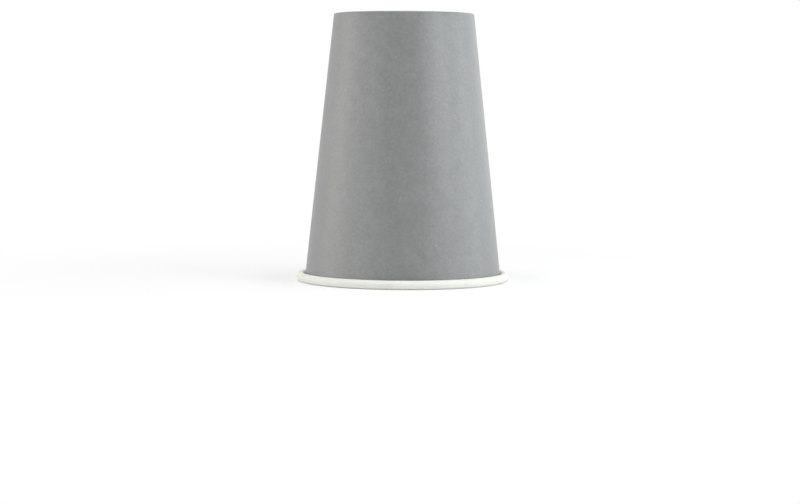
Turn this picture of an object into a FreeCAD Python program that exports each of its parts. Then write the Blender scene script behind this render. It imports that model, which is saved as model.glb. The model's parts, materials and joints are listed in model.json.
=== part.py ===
"""Disposable paper cup, standing mouth down on its rolled rim.

Two pieces of board make the cup. The sidewall is a fan-shaped blank wrapped into a cone,
lapped and sealed down one side, with its wide edge rolled outwards into the rim and its
narrow edge folded in under the base. The bottom disc has a turned skirt, which the folded
edge of the sidewall grips all the way round.

Millimetres, +Z up. The origin is the centre of the mouth, in the plane that the rim stands
on, and the side seam is at the back, on +Y.
"""
import FreeCAD, Part
import math
import os
import Sketcher
from FreeCAD import Vector

DRIVING = {
    "rim_diameter": 90.0,      # over the rolled rim
    "base_diameter": 59.3,     # over the folded ring under the base
    "cup_height": 113.0,       # rim plane to the crest of the folded ring
    "roll_diameter": 3.75,     # section of the rolled rim
    "roll_gap": 0.1,           # between the tucked end of the roll and the wall
    "tuck_turn": 75.0,         # how far round the tucked end turns from the crest, in degrees
    "wall_board": 0.35,        # board of the sidewall
    "base_board": 0.3,         # board of the bottom disc
    "seal_film": 0.02,         # film that seals the skirt to the sidewall, each side
    "base_recess": 6.15,       # depth of the disc below the crest of the ring
    "base_bend": 0.3,          # inner radius of the bend between disc and skirt
    "lip_clearance": 0.7,      # between the end of the folded lip and the disc
    "lap_width": 7.0,          # overlap of the side seam
    "lap_ramp": 2.5,           # length over which the outer layer climbs on to the inner
    "bend_error": 0.15,        # how far the flats that make a bend may lie off its arc
}

# Places that follow from the driving dimensions: centres of the roll and the fold as reach
# from the axis and rise from the rim plane, and the wall's lean off the vertical, at which
# its outer face touches both the inside of the roll and the outside of the fold. The seam's
# outer layer is rooted half a board deep, so its ramp is drawn down to that depth too.
DERIVED = {
    "roll_radius": "Sizes.roll_diameter / 2",
    "roll_reach": "Sizes.rim_diameter / 2 - Derived.roll_radius",
    "tuck_radius": "Derived.roll_radius - Sizes.wall_board - Sizes.roll_gap",
    "tuck_rise": "Sizes.roll_diameter - Derived.tuck_radius",
    "fold_radius": "Sizes.wall_board + Sizes.seal_film + Sizes.base_board / 2",
    "fold_reach": "Sizes.base_diameter / 2 - Derived.fold_radius",
    "fold_rise": "Sizes.cup_height - Derived.fold_radius",
    "run": "Derived.roll_reach - Derived.fold_reach",
    "climb": "Derived.fold_rise - Derived.roll_radius",
    "lean": "acos((Derived.roll_radius - Sizes.wall_board + Derived.fold_radius)"
            " / sqrt(Derived.run ^ 2 + Derived.climb ^ 2)) - atan(Derived.climb / Derived.run)",
    "level_board": "Sizes.wall_board / cos(Derived.lean)",
    "disc_top": "Sizes.cup_height - Sizes.base_recess",
    "disc_under": "Derived.disc_top - Sizes.base_board",
    "lip_end": "Derived.disc_top + Sizes.lip_clearance",
    "lap_half": "Sizes.lap_width / 2",
    "root": "Derived.level_board / 2",
    "ramp_foot": "Derived.lap_half + Sizes.lap_ramp * (1 + Derived.root / Derived.level_board)",
}

doc = FreeCAD.newDocument("PaperCup")
sheet = doc.addObject("Spreadsheet::Sheet", "Sizes")
for row, (alias, number) in enumerate(DRIVING.items(), start=1):
    sheet.set(f"A{row}", alias)
    sheet.set(f"B{row}", str(number))
    sheet.setAlias(f"B{row}", alias)
doc.recompute()

derived = doc.addObject("App::VarSet", "Derived")
for name, expression in DERIVED.items():
    derived.addProperty("App::PropertyAngle" if name == "lean" else "App::PropertyFloat", name)
    derived.setExpression(name, expression)
doc.recompute()


def value_of(expression):
    """Number that an expression on the document has now."""
    value = derived.evalExpression(expression)
    return float(getattr(value, "Value", value))


# --- Sketching: every corner of an outline is a pair of expressions on the sizes ---

START, END, CENTRE = 1, 2, 3    # points of an edge, as the sketcher numbers them
ORIGIN = (-1, START)            # the sketch's origin


def polar(centre, radius, angle):
    """Corner at a radius and an angle from a centre."""
    across, up = centre
    return f"{across} + ({radius}) * cos({angle})", f"{up} + ({radius}) * sin({angle})"


def bend(centre, radius, start, end):
    """Corners round a bend from one angle to another, in equal flats that keep to its arc."""
    turn = abs(value_of(f"({end}) - ({start})"))
    cosine = max(0, 1 - value_of("Sizes.bend_error") / value_of(radius))
    flats = math.ceil(turn / math.degrees(2 * math.acos(cosine)))
    return [polar(centre, radius, f"({start}) + (({end}) - ({start})) * {step / flats}")
            for step in range(flats + 1)]


def new_sketch(body, name, plane, height=None):
    """Sketch on one of the body's own origin planes, raised to a height if one is given."""
    sketch = body.newObject("Sketcher::SketchObject", name)
    origin_plane = next(f for f in body.Origin.OriginFeatures if f.Role == plane)
    sketch.AttachmentSupport = [(origin_plane, "")]
    sketch.MapMode = "FlatFace"
    if height:
        sketch.setExpression(".AttachmentOffset.Base.z", height)
    return sketch


def place(sketch, kind, name, expression, *points):
    """Dimension bound to an expression."""
    number = value_of(expression)
    index = sketch.addConstraint(Sketcher.Constraint(kind, *points, number))
    sketch.renameConstraint(index, name)
    sketch.setExpression(f"Constraints.{name}", expression)


def add_arc(sketch, edge, first, last):
    """Arc about the origin between two corners, and which of its ends is its first and its last."""
    onward = first.cross(last).z > 0
    turns = [math.atan2(corner.y, corner.x) for corner in (first, last)]
    circle = Part.Circle(Vector(), Vector(0, 0, 1), first.Length)
    sketch.addGeometry(Part.ArcOfCircle(circle, *(turns if onward else reversed(turns))))
    sketch.addConstraint(Sketcher.Constraint("Coincident", edge, CENTRE, *ORIGIN))
    return (START, END) if onward else (END, START)


def draw_outline(sketch, corners, round_edges=()):
    """Closed outline, its corners placed from the origin and its edges numbered from them.

    An edge is straight, or an arc about the origin if it is one of the round ones. An arc
    ends where its last corner's reach puts it, so that corner takes no rise of its own.
    """
    points = [Vector(value_of(across), value_of(up), 0) for across, up in corners]
    ends = []
    for edge, (first, last) in enumerate(zip(points, points[1:] + points[:1])):
        if edge in round_edges:
            ends.append(add_arc(sketch, edge, first, last))
        else:
            sketch.addGeometry(Part.LineSegment(first, last))
            ends.append((START, END))
    for edge, (across, up) in enumerate(corners):
        before = (edge - 1) % len(corners)
        corner = (edge, ends[edge][0])
        sketch.addConstraint(Sketcher.Constraint("Coincident", before, ends[before][1], *corner))
        place(sketch, "DistanceX", f"across_{edge}", across, *ORIGIN, *corner)
        if before not in round_edges:
            place(sketch, "DistanceY", f"up_{edge}", up, *ORIGIN, *corner)
    return sketch


def turn_about_axis(body, name, section):
    """Section turned right round the cup's axis."""
    feature = body.newObject("PartDesign::Revolution", name)
    feature.Profile = section
    feature.ReferenceAxis = (section, ["V_Axis"])
    feature.Angle = 360
    doc.recompute()
    return feature


ROLL = ("Derived.roll_reach", "Derived.roll_radius")
TUCK = ("Derived.roll_reach", "Derived.tuck_rise")
FOLD = ("Derived.fold_reach", "Derived.fold_rise")
WALL_SIDE = "Derived.lean"
CUP_SIDE = "180 deg + Derived.lean"
TUCK_END = "90 deg + Sizes.tuck_turn * 1 deg"


def fold_line(offset, height):
    """Reach at a height of a line that leans with the wall, at an offset out from the fold's centre."""
    return (f"Derived.fold_reach + ({offset}) / cos(Derived.lean)"
            f" + (Derived.fold_rise - ({height})) * tan(Derived.lean)")


# --- Sidewall ---

def wall_corners():
    """Board's section round the roll and back up its inside, over the fold and down the lip."""
    board = "Sizes.wall_board"
    quarters = (CUP_SIDE, "270 deg", "360 deg", "450 deg")
    roll_out = [corner for a, b in zip(quarters, quarters[1:])
                for corner in bend(ROLL, "Derived.roll_radius", a, b)[:-1]]
    tuck_out = bend(TUCK, "Derived.tuck_radius", "90 deg", TUCK_END)
    tuck_in = bend(TUCK, f"Derived.tuck_radius - {board}", TUCK_END, "90 deg")[:-1]
    roll_in = bend(ROLL, f"Derived.roll_radius - {board}", "450 deg", CUP_SIDE)
    fold_out = bend(FOLD, "Derived.fold_radius", WALL_SIDE, "90 deg")[:-1] \
        + bend(FOLD, "Derived.fold_radius", "90 deg", CUP_SIDE)
    lip = [(fold_line(f"{inset} - Derived.fold_radius", "Derived.lip_end"), "Derived.lip_end")
           for inset in ("0", board)]
    fold_in = bend(FOLD, f"Derived.fold_radius - {board}", CUP_SIDE, WALL_SIDE)
    return roll_out + tuck_out + tuck_in + roll_in + fold_out + lip + fold_in


def seam_fold_corners():
    """Section of the seam's outer layer over the fold, pressed flat to the height of the rest."""
    face = "Derived.fold_radius + Sizes.wall_board"
    rooted = "Derived.fold_radius - Sizes.wall_board / 2"
    foot = [(fold_line(offset, "Derived.fold_rise"), "Derived.fold_rise") for offset in (rooted, face)]
    over = bend(FOLD, face, WALL_SIDE, CUP_SIDE)
    pressed = [(across, f"min({up}; Sizes.cup_height)") for across, up in over]
    lip = [(fold_line(f"-({offset})", "Derived.lip_end"), "Derived.lip_end") for offset in (face, rooted)]
    return foot + pressed + lip + bend(FOLD, rooted, CUP_SIDE, WALL_SIDE)


def on_arc(across, radius):
    """Corner at a reach along an arc about the axis."""
    return across, f"sqrt(({radius}) ^ 2 - ({across}) ^ 2)"


def layer_plan(name, height):
    """Seam's outer layer at a height: its cut edge, its face, and the ramp up from the wall."""
    wall = fold_line("Derived.fold_radius", height)
    near, far = f"{wall} - Derived.root", f"{wall} + Derived.level_board"
    corners = [on_arc("Derived.lap_half", near), on_arc("Derived.lap_half", far),
               on_arc("-Derived.lap_half", far), on_arc("-Derived.ramp_foot", near)]
    return draw_outline(new_sketch(sidewall, name, "XY_Plane", height), corners, round_edges=(1, 3))


def step_plan(name, height):
    """What the ramp leaves open inside at a height, from the inner layer's cut edge."""
    wall = fold_line("Derived.fold_radius", height)
    near = f"{wall} - Derived.level_board - Derived.root"
    corners = [on_arc("-Derived.lap_half", near), on_arc("-Derived.lap_half", wall),
               on_arc("-Derived.ramp_foot", near)]
    return draw_outline(new_sketch(sidewall, name, "XY_Plane", height), corners, round_edges=(2,))


def run_along_wall(kind, name, plan, low, high):
    """Straight loft up the wall between the plans at two heights."""
    feature = sidewall.newObject(kind, name)
    feature.Profile = plan(f"{name}_low", low)
    feature.Sections = [plan(f"{name}_high", high)]
    feature.Ruled = True
    doc.recompute()


def wrap_seam_over_fold():
    """Seam's outer layer carried over the fold and down the lip, as wide as it is on the wall."""
    section = draw_outline(new_sketch(sidewall, "seam_fold_section", "YZ_Plane"), seam_fold_corners())
    layer = sidewall.newObject("PartDesign::Revolution", "seam_fold")
    layer.Profile = section
    layer.ReferenceAxis = (section, ["V_Axis"])
    layer.Midplane = True
    reach = fold_line("Derived.fold_radius", "Derived.fold_rise")
    layer.setExpression("Angle", f"2 * asin(Derived.lap_half / ({reach} + Derived.level_board))")
    doc.recompute()


sidewall = doc.addObject("PartDesign::Body", "sidewall")
turn_about_axis(sidewall, "rolled_sheet",
                draw_outline(new_sketch(sidewall, "wall_section", "XZ_Plane"), wall_corners()))
wrap_seam_over_fold()
run_along_wall("PartDesign::AdditiveLoft", "seam_layer", layer_plan,
               "Sizes.roll_diameter", "Derived.fold_rise")
run_along_wall("PartDesign::SubtractiveLoft", "seam_step", step_plan, "0", "Derived.disc_under")


# --- Bottom disc ---

def disc_corners():
    """Section of the disc from its axis: flat, bent, and turned up along the wall into the fold."""
    half_board = "Sizes.base_board / 2"
    heel_rise = "Derived.disc_top + Sizes.base_bend"
    heel = (fold_line(f"-({half_board}) - Sizes.base_bend", heel_rise), heel_rise)
    edge = [polar(FOLD, half_board, side) for side in (WALL_SIDE, CUP_SIDE)]
    under = bend(heel, "Sizes.base_bend + Sizes.base_board", "-90 deg", WALL_SIDE)
    top = bend(heel, "Sizes.base_bend", WALL_SIDE, "-90 deg")
    return [("0", "Derived.disc_under")] + under + edge + top + [("0", "Derived.disc_top")]


bottom_disc = doc.addObject("PartDesign::Body", "bottom_disc")
turn_about_axis(bottom_disc, "turned_disc",
                draw_outline(new_sketch(bottom_disc, "disc_section", "XZ_Plane"), disc_corners()))


# --- Files ---

bodies = (sidewall, bottom_disc)
for item in doc.Objects:
    if {"Invalid", "Error"} & set(item.State):
        raise RuntimeError(f"{item.Label} failed: {item.State}")
for body in bodies:
    if body.Shape.isNull() or not body.Shape.isValid():
        raise RuntimeError(f"{body.Label} has no sound shape")
os.makedirs("parts", exist_ok=True)
for body in bodies:
    body.Shape.exportStep(f"parts/{body.Label}.step")
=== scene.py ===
import json
import math

import bmesh
import bpy
import numpy as np
from mathutils import Matrix, Vector


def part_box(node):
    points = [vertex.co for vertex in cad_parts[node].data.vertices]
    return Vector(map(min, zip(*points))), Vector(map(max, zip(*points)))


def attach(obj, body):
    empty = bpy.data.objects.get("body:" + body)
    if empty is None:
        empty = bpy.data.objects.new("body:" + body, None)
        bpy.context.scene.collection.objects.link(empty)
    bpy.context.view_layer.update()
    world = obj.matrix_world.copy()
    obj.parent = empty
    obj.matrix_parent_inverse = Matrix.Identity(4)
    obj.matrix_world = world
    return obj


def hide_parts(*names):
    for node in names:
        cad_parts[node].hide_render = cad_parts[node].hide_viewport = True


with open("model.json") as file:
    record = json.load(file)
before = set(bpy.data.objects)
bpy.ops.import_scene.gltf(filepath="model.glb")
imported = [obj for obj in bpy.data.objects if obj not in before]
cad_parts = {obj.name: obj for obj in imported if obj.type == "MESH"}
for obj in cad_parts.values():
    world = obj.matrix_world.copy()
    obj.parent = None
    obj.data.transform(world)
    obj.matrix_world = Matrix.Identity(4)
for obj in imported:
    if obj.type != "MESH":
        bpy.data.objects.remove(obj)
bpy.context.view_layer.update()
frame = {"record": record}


# --- Sidewall ---
# One blank of printed board wrapped into a cone and sealed to itself down the back. Its wide
# edge is curled outwards into the rim, which turns the white inner face out, and its narrow
# edge is folded in under the base and crimped.

MM = 0.001
mounts = {mount["name"]: mount["dims"] for mount in frame["record"]["mounts"]}
low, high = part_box("sidewall")
rim_radius = min(-low.x, -low.y, high.x, high.y)    # to the nearest side, so a round rim fits in
roll_radius = mounts["rim"]["length_mm"] * MM / 2
base_radius = mounts["base_ring"]["r_mm"] * MM
recess_depth = mounts["base_ring"]["length_mm"] * MM
cup_height = high.z

wall_board = 0.35 * MM          # board of the sidewall
disc_board = 0.30 * MM          # board of the bottom disc
seal_film = 0.02 * MM           # film between two layers
roll_gap = 0.10 * MM            # between the curled edge and the wall
tuck_turn = math.radians(75)    # how far the curled edge turns on from the roll's crest
lap_width = 7.0 * MM            # overlap of the seam
lap_ramp = 2.5 * MM             # length over which the outer layer climbs
cut_slant = 0.12 * MM           # how far the knife's cut leans back from the white side
lip_clearance = 0.7 * MM        # between the folded edge and the disc
flute_pitch = 2.0 * MM          # between the crimping tool's teeth
flute_depth = 0.14 * MM         # how far they push the lip in
flute_start = 0.6               # how far the lip has turned inwards where the flutes begin
lines_round = 558               # lines of the mesh round the wall
lines_over_lap = 30             # and across each layer of its lap
crease = math.radians(50)       # a bend sharper than this shows as an edge

ink_shades = (0.182, 0.1885, 0.187, 1), (0.217, 0.223, 0.2245, 1)
coat_shades = (0.756, 0.761, 0.720, 1), (0.784, 0.789, 0.749, 1)
core_shades = (0.66, 0.65, 0.61, 1), (0.84, 0.83, 0.79, 1)
dark_fleck = (0.13, 0.13, 0.13, 1)
pale_fleck = (0.43, 0.43, 0.425, 1)


def arc(centre, radius, start, end, steps, facing):
    """Points on an arc, at centre plus radius times the cosine and sine of an even angle.

    With them goes the direction in which the printed face looks: away from the centre where
    facing is 1, and towards it where facing is -1.
    """
    angle = np.linspace(start, end, steps)
    ray = np.stack([np.cos(angle), np.sin(angle)], axis=1)
    return np.array(centre) + radius * ray, facing * ray


def straight(first, last, steps):
    """Evenly spaced points between the ends of two neighbouring stretches, ends left out."""
    share = np.linspace(0, 1, steps + 2)[1:-1, None]
    points = first[0][-1] * (1 - share) + last[0][0] * share
    return points, np.repeat(first[1][-1:], steps, axis=0)


def joined(*stretches):
    """One path from several stretches, without the points that two of them share."""
    points = np.concatenate([stretch[0] for stretch in stretches])
    facing = np.concatenate([stretch[1] for stretch in stretches])
    moved = np.linalg.norm(np.diff(points, axis=0), axis=1) > 0.001 * MM
    keep = np.append(True, moved)
    return points[keep], facing[keep]


# The wall touches the inside of the roll and the outside of the fold, so its lean off the
# vertical follows from their centres, which are a reach from the cup's axis and a height.
fold_radius = wall_board + seal_film + disc_board / 2
roll_centre = (rim_radius - roll_radius, roll_radius)
fold_centre = (base_radius - fold_radius, cup_height - fold_radius)
run = roll_centre[0] - fold_centre[0]
climb = fold_centre[1] - roll_centre[1]
apart = roll_radius - wall_board + fold_radius
lean = math.acos(apart / math.hypot(run, climb)) - math.atan(climb / run)
down_wall = np.array([math.sin(lean), -math.cos(lean)])


def wall_path():
    """Middle of the board from the curled tip, round the roll, up the wall and down the lip.

    Arcs about the tuck, the roll and the fold, joined by straights that touch them. Each point
    is a reach from the cup's axis and a height.
    """
    half = wall_board / 2
    tuck_radius = roll_radius - wall_board - roll_gap
    tuck_centre = (roll_centre[0], 2 * roll_radius - tuck_radius)
    crest, cup_side = math.pi / 2, math.pi + lean
    tuck = arc(tuck_centre, tuck_radius - half, crest + tuck_turn, crest, steps=12, facing=-1)
    roll = arc(roll_centre, roll_radius - half, crest, cup_side - 2 * math.pi, steps=36, facing=-1)
    fold = arc(fold_centre, fold_radius - half, lean, cup_side, steps=16, facing=1)
    drop = fold[0][-1][1] - (cup_height - recess_depth + lip_clearance)
    lip_end = (fold[0][-1:] + drop / math.cos(lean) * down_wall, fold[1][-1:])
    wall, lip = straight(roll, fold, steps=6), straight(fold, lip_end, steps=3)
    return joined(tuck, roll, wall, fold, lip, lip_end)


def smooth(share):
    """Soft step from 0 to 1: three times the share's square less twice its cube."""
    share = np.clip(share, 0, 1)
    return share * share * (3 - 2 * share)


def wall_lines():
    """Lines of the sheet from its inner cut edge right round to its outer one.

    Each lies at a turn about the axis plus a width along the round, so the lap is as wide at
    the base as at the rim. With them go how far the line has climbed on to the inner layer,
    from 0 to 1, how far the lap is pressed down there, and which way a cut edge leans.
    """
    lap, foot = lap_width / 2, lap_width / 2 + lap_ramp
    under = np.linspace(-lap, foot, lines_over_lap)
    over = np.linspace(-foot, lap, lines_over_lap)
    share = np.linspace(0, 1, lines_round + 2)[1:-1]
    above, below = smooth((over + foot) / lap_ramp), smooth((foot - under) / lap_ramp)
    turn = np.concatenate([0 * under, 2 * math.pi * share, 0 * over + 2 * math.pi])
    width = np.concatenate([under, foot - 2 * foot * share, over])
    climbed = np.concatenate([0 * under, 0 * share, above])
    pressed = np.concatenate([below, 0 * share, above])
    leaning = 0 * turn
    leaning[0], leaning[-1] = 1, -1
    return turn, width, climbed, pressed, leaning


def about_axis(reach, rise, azimuth):
    """Grid of points at a height, turned about the axis from the back towards the right.

    They lie to the right by their reach times the azimuth's sine, and back by its cosine.
    """
    return np.stack([reach * np.sin(azimuth), reach * np.cos(azimuth), rise + 0 * azimuth], axis=2)


def wall_face(side):
    """One face of the sheet, as a grid of path points by lines.

    A point of the path moves along its facing by half a board times side and by the climb of
    a board and its film. Where it faces up it goes down by as much in the pressed lap, and
    the lip goes in by a cosine's half wave. Then it is turned about the axis, and a cut edge
    leans by half its slant each way.
    """
    points, facing = wall_path()
    turn, width, climbed, pressed, leaning = wall_lines()
    layer = wall_board + seal_film
    offset = side * wall_board / 2 + climbed * layer
    outward, upward = facing[:, :1], facing[:, 1:]
    at_base = points[:, 1:] > cup_height / 2
    reach = points[:, :1] + outward * offset
    rise = points[:, 1:] + upward * offset - pressed * layer * np.clip(upward, 0, 1) * at_base
    azimuth = turn + (width + side * leaning * cut_slant / 2) / reach
    flutes = round(2 * math.pi * (fold_centre[0] - fold_radius) / flute_pitch)
    on_lip = smooth((-outward - flute_start) / (1 - flute_start)) * at_base
    reach = reach - flute_depth * on_lip * (1 + np.cos(flutes * azimuth)) / 2
    return about_axis(reach, rise, azimuth)


def cells(number):
    """Four corner numbers of each cell of a grid of point numbers."""
    corners = [number[:-1, :-1], number[1:, :-1], number[1:, 1:], number[:-1, 1:]]
    return np.stack(corners, axis=2).reshape(-1, 4)


def put_in(name, data):
    """New object in the scene that holds a mesh, a lamp or a camera."""
    holder = bpy.data.objects.new(name, data)
    bpy.context.scene.collection.objects.link(holder)
    return holder


def new_board(name, near, far, materials, cut):
    """Piece from a board's near and far faces, grids of points, and strips along its cut edges.

    The materials are those of the near face, the far face and the cut edges. Points that meet
    are merged, which closes a sheet that runs right round and its middle.
    """
    rows, columns, _ = near.shape
    one, two = np.arange(2 * rows * columns).reshape(2, rows, columns)
    strips = {"start": np.stack([two[0], one[0]]),
              "end": np.stack([one[-1], two[-1]]),
              "first side": np.stack([two[:, 0], one[:, 0]], axis=1),
              "last side": np.stack([one[:, -1], two[:, -1]], axis=1)}
    edges = np.concatenate([cells(strips[edge]) for edge in cut])
    parts = [cells(one), cells(two)[:, ::-1], edges]
    points = np.stack([near, far]).reshape(-1, 3)
    mesh = bpy.data.meshes.new(name)
    mesh.from_pydata(points.tolist(), [], np.concatenate(parts).tolist())
    material_numbers = np.repeat([0, 1, 2], [len(part) for part in parts])
    mesh.polygons.foreach_set("material_index", material_numbers)
    mesh.polygons.foreach_set("use_smooth", np.ones(len(mesh.polygons), bool))
    for material in materials:
        mesh.materials.append(material)
    merged = bmesh.new()
    merged.from_mesh(mesh)
    bmesh.ops.remove_doubles(merged, verts=merged.verts, dist=0.0001 * MM)
    merged.to_mesh(mesh)
    merged.free()
    mesh.set_sharp_from_angle(angle=crease)
    return put_in(name, mesh)


class Value:
    """Socket of a node tree, on which + and * work: each adds a Math node."""

    def __init__(self, tree, socket):
        self.tree, self.socket = tree, socket

    def __add__(self, other):
        return self.tree.math("ADD", self, other)

    def __mul__(self, other):
        return self.tree.math("MULTIPLY", self, other)

    __radd__, __rmul__ = __add__, __mul__


class Tree:
    """Node tree of a material or a world."""

    def __init__(self, owner):
        owner.use_nodes = True
        self.nodes, self.links = owner.node_tree.nodes, owner.node_tree.links

    def fill(self, node, sockets):
        """Fills a node's inputs, by name or number, from values, numbers and colours."""
        for key, value in sockets.items():
            if isinstance(value, Value):
                self.links.new(value.socket, node.inputs[key])
            else:
                node.inputs[key].default_value = value

    def add(self, kind, settings, sockets, output=0):
        """Makes a node of a kind, its settings and then its sockets, and gives one output."""
        node = self.nodes.new(kind)
        for name, setting in settings.items():
            setattr(node, name, setting)
        self.fill(node, sockets)
        return Value(self, node.outputs[output])

    def math(self, operation, *terms):
        """Result of a Math node on values and numbers."""
        return self.add("ShaderNodeMath", {"operation": operation}, dict(enumerate(terms)))

    def place(self):
        """Where a point lies, in metres from the object's origin."""
        return self.add("ShaderNodeTexCoord", {}, {}, output="Object")

    def noise(self, size, detail, seed=0.0):
        """Cloudy pattern through the piece whose patches are about a size across, from 0 to 1."""
        sockets = {"Vector": self.place(), "W": seed, "Scale": 1 / size, "Detail": detail}
        return self.add("ShaderNodeTexNoise", {"noise_dimensions": "4D"}, sockets)

    def specks(self, size, spacing, strength):
        """Soft ragged specks about a size across, one to each cell, from 0 to a strength.

        The cells are about a spacing wide. A speck fades with the distance from its cell's
        point, at a place that a noise as fine as the specks pushes by about half their size.
        """
        sockets = {"Vector": self.place(), "Scale": 1 / size}
        push = self.add("ShaderNodeTexNoise", {}, sockets, output="Color")
        sockets = {0: push, 1: (2 * size, 2 * size, 2 * size), 2: self.place()}
        pushed = self.add("ShaderNodeVectorMath", {"operation": "MULTIPLY_ADD"}, sockets)
        sockets = {"Vector": pushed, "Scale": 1 / spacing}
        away = self.add("ShaderNodeTexVoronoi", {}, sockets, output="Distance")
        return self.ramp(away, start=size / spacing, end=0.0) * strength

    def ramp(self, value, start, end, shape="LINEAR"):
        """Share of the way that a value has gone from start to end, held between 0 and 1."""
        sockets = {"Value": value, "From Min": start, "From Max": end}
        return self.add("ShaderNodeMapRange", {"interpolation_type": shape}, sockets)

    def blend(self, share, first, second):
        """Colour at a share of the way between two, which a Mix node takes at inputs 6 and 7."""
        sockets = {0: share, 6: first, 7: second}
        return self.add("ShaderNodeMix", {"data_type": "RGBA"}, sockets, output=2)

    def bump(self, height, depth):
        """Normal of a surface raised by a height from 0 to 1 times a depth."""
        sockets = {"Strength": 1.0, "Distance": depth, "Height": height}
        return self.add("ShaderNodeBump", {}, sockets)


def new_finish(name, surface):
    """Material whose shader takes the sockets that a function of its node tree gives."""
    material = bpy.data.materials.new(name)
    tree = Tree(material)
    tree.fill(tree.nodes["Principled BSDF"], surface(tree))
    return material


def printed_face(tree):
    """Grey ink under a satin varnish, mottled by the board's fibres, with dark and pale flecks."""
    clouds = tree.noise(size=5 * MM, detail=5)
    fibres = tree.noise(size=1.1 * MM, detail=4)
    patches = tree.noise(size=9 * MM, detail=3, seed=4.0)
    mottle = tree.ramp(clouds * 0.45 + fibres * 0.55, start=0.38, end=0.62)
    dark_flecks = tree.specks(size=0.45 * MM, spacing=2.3 * MM, strength=0.6)
    pale_flecks = tree.specks(size=0.45 * MM, spacing=1.6 * MM, strength=0.36)
    pale_flecks = pale_flecks * tree.ramp(patches, start=0.45, end=0.65)
    colour = tree.blend(mottle, *ink_shades)
    colour = tree.blend(dark_flecks, colour, dark_fleck)
    colour = tree.blend(pale_flecks, colour, pale_fleck)
    return {"Base Color": colour, "Roughness": 0.35 + 0.10 * clouds, "Specular IOR Level": 0.65,
            "Normal": tree.bump(fibres * 0.7 + clouds * 0.3, depth=0.02 * MM)}


def coated_face(tree):
    """White board under a clear film, which the roll turns outwards."""
    clouds = tree.noise(size=6 * MM, detail=3)
    grain = tree.noise(size=0.6 * MM, detail=3)
    colour = tree.blend(tree.ramp(clouds, start=0.36, end=0.64), *coat_shades)
    return {"Base Color": colour, "Roughness": 0.42 + 0.12 * clouds, "Specular IOR Level": 0.4,
            "Normal": tree.bump(grain, depth=0.015 * MM)}


def cut_edge(tree):
    """Bare white core of the board where the blank was cut, with its fibres."""
    fibres = tree.noise(size=0.15 * MM, detail=4)
    return {"Base Color": tree.blend(fibres, *core_shades), "Roughness": 0.9,
            "Normal": tree.bump(fibres, depth=0.04 * MM)}


grey_print = new_finish("grey_print", printed_face)
white_coat = new_finish("white_coat", coated_face)
raw_edge = new_finish("raw_edge", cut_edge)
sidewall = new_board("sidewall_sheet", near=wall_face(1), far=wall_face(-1),
                     materials=[grey_print, white_coat, raw_edge],
                     cut=["start", "end", "first side", "last side"])
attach(sidewall, "root")
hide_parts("sidewall")


# --- Bottom disc ---
# One round of white board with its edge turned up into a skirt, sealed inside the foot of
# the wall and gripped by the folded edge. Its coated face looks into the cup.

heel_radius = 0.3 * MM          # inside the turned edge
skirt_clearance = 0.3 * MM      # between the skirt's end and the middle of the fold over it
disc_lines = 240                # lines of the mesh round the disc
bare_shades = (0.75, 0.74, 0.71, 1), (0.81, 0.80, 0.775, 1)
shive_brown = (0.55, 0.50, 0.42, 1)     # bits of wood left in the pulp


def disc_path():
    """Middle of the disc's board from its axis, flat, round the heel and up the skirt.

    The skirt lies on the line that leans with the wall through the fold's centre, and the heel
    is an arc that touches it and the flat.
    """
    half = disc_board / 2
    heel_rise = cup_height - recess_depth + heel_radius
    skirt_foot = np.array(fold_centre) + (fold_centre[1] - heel_rise) / math.cos(lean) * down_wall
    heel_centre = skirt_foot - np.array([(heel_radius + half) / math.cos(lean), 0])
    heel = arc(heel_centre, heel_radius + half, -math.pi / 2, lean, steps=8, facing=1)
    middle = (np.array([[0, heel[0][0][1]]]), heel[1][:1])
    skirt_end = (np.array([fold_centre + skirt_clearance * down_wall]), heel[1][-1:])
    flat, skirt = straight(middle, heel, steps=12), straight(heel, skirt_end, steps=4)
    return joined(middle, flat, heel, skirt, skirt_end)


def disc_face(side):
    """One face of the disc: its path, half a board along its facing, turned about the axis."""
    points, facing = disc_path()
    section = points + side * disc_board / 2 * facing
    return about_axis(section[:, :1], section[:, 1:], np.linspace(0, 2 * math.pi, disc_lines + 1))


def bare_face(tree):
    """Bare white board on the side that takes no drink, matt, fibrous, with a few shives."""
    clouds = tree.noise(size=3 * MM, detail=4)
    fibres = tree.noise(size=0.6 * MM, detail=5)
    mottle = tree.ramp(clouds * 0.4 + fibres * 0.6, start=0.36, end=0.64)
    shives = tree.specks(size=0.4 * MM, spacing=2.6 * MM, strength=0.35)
    colour = tree.blend(shives, tree.blend(mottle, *bare_shades), shive_brown)
    return {"Base Color": colour, "Roughness": 0.85,
            "Normal": tree.bump(fibres * 0.6 + clouds * 0.4, depth=0.06 * MM)}


bare_board = new_finish("bare_board", bare_face)
disc = new_board("bottom_disc_sheet", near=disc_face(1), far=disc_face(-1),
                 materials=[white_coat, bare_board, raw_edge], cut=["end"])
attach(disc, "root")
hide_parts("bottom_disc")


# --- Floor, light and camera ---
# A white table under soft lamps at both sides and above, seen from a little over the rim.

floor_reach = 6.0
floor_white = (0.92, 0.92, 0.92, 1)
plain_white = (1, 1, 1, 1)
floor_lift = 0.36               # share of plain white that a lens sees on the floor by the cup
lift_start, lift_end = 0.08, 0.26       # distances from which it grows, and at which it is all
world_light = 0.25              # even light from all round, on the cup and the floor


def in_view(tree):
    """1 for a ray that a lens sees straight, in gloss or through glass, and 0 for others."""
    camera, glossy, through = (tree.add("ShaderNodeLightPath", {}, {}, output=f"Is {kind} Ray")
                               for kind in ("Camera", "Glossy", "Transmission"))
    return tree.math("MAXIMUM", camera, tree.math("MAXIMUM", glossy, through))


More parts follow.
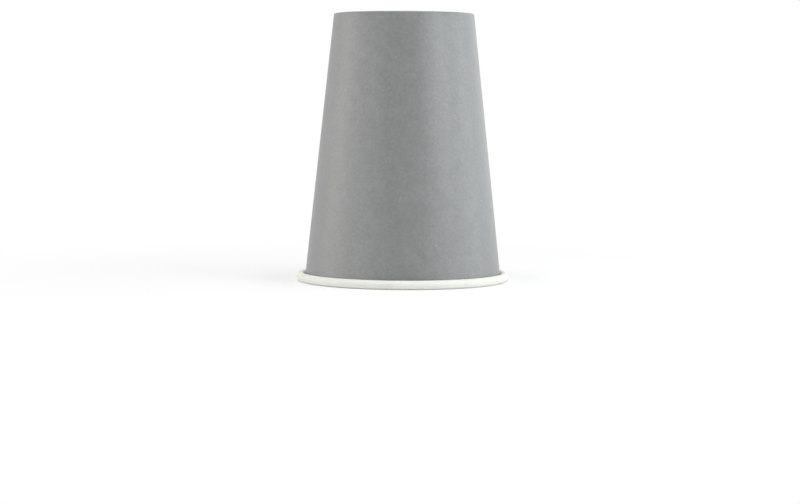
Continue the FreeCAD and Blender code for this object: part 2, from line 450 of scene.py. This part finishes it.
def white_table():
    """Matt white that turns into plain white light, for lenses alone, away from the cup."""
    material = bpy.data.materials.new("white_table")
    tree = Tree(material)
    sockets = {0: tree.place()}
    away = tree.add("ShaderNodeVectorMath", {"operation": "LENGTH"}, sockets, output="Value")
    far = tree.ramp(away, lift_start, lift_end, shape="SMOOTHSTEP")
    share = in_view(tree) * (floor_lift + (1 - floor_lift) * far)
    matt = tree.add("ShaderNodeBsdfDiffuse", {}, {"Color": floor_white})
    plain = tree.add("ShaderNodeEmission", {}, {"Color": plain_white, "Strength": 1.0})
    mixed = tree.add("ShaderNodeMixShader", {}, {0: share, 1: matt, 2: plain})
    tree.fill(tree.nodes["Material Output"], {"Surface": mixed})
    tree.nodes.remove(tree.nodes["Principled BSDF"])
    return material


floor_mesh = bpy.data.meshes.new("floor")
floor_corners = [(-floor_reach, -floor_reach, 0), (floor_reach, -floor_reach, 0),
                 (floor_reach, floor_reach, 0), (-floor_reach, floor_reach, 0)]
floor_mesh.from_pydata(floor_corners, [], [(0, 1, 2, 3)])
floor_mesh.materials.append(white_table())
put_in("floor", floor_mesh)

studio = bpy.data.worlds.new("studio")
bpy.context.scene.world = studio
sky = Tree(studio)
sky_strength = world_light + (1 - world_light) * in_view(sky)
sky.fill(sky.nodes["Background"], {"Color": plain_white, "Strength": sky_strength})


def add_lamp(name, place, size, tint, power):
    """Soft lamp of a size, a tint and a power in watts, aimed at the middle of the cup."""
    lamp = bpy.data.lights.new(name, "AREA")
    lamp.shape = "RECTANGLE"
    lamp.size, lamp.size_y = size
    lamp.color = tint
    lamp.energy = power
    holder = put_in(name, lamp)
    holder.location = place
    aim = Vector((0, 0, cup_height / 2)) - holder.location
    holder.rotation_euler = aim.to_track_quat("-Z", "Y").to_euler()


lamp_reach, lamp_rise = 1.2, 0.2
lamp_size = (0.52, 0.6)
warm, neutral, cool = (1, 0.985, 0.945), (1, 1, 1), (0.96, 0.985, 1)
# Watts of each side lamp, by its bearing in degrees from the front towards the right.
side_lamps = {-120: 0.6, -95: 3.0, -70: 2.05, -45: 1.5, 70: 1.7, 95: 3.25, 120: 1.1, 145: 0.8}
for bearing, power in side_lamps.items():
    turn = math.radians(bearing)
    place = (lamp_reach * math.sin(turn), -lamp_reach * math.cos(turn), lamp_rise)
    add_lamp(f"side_lamp_{bearing}", place, lamp_size, warm if bearing < 0 else cool, power)
add_lamp("top_lamp", place=(0, -0.1, 1.3), size=(0.9, 0.9), tint=neutral, power=11.9)
add_lamp("near_lamp", place=(0.33, -0.26, 0.21), size=(0.24, 0.24), tint=cool, power=0.60)

camera_place = Vector((0.0050, -0.8408, 0.0768))
camera_aim = Vector((-0.0012, 0, 0.0121))
camera_roll = Matrix.Rotation(math.radians(0.30), 3, "Z")       # anticlockwise, seen from behind
level = (camera_aim - camera_place).to_track_quat("-Z", "Y").to_matrix()
camera = put_in("camera", bpy.data.cameras.new("camera"))
camera.matrix_world = Matrix.Translation(camera_place) @ (level @ camera_roll).to_4x4()
camera.data.lens = 89
camera.data.sensor_width = 36
bpy.context.scene.camera = camera
bpy.context.scene.view_settings.view_transform = "Standard"
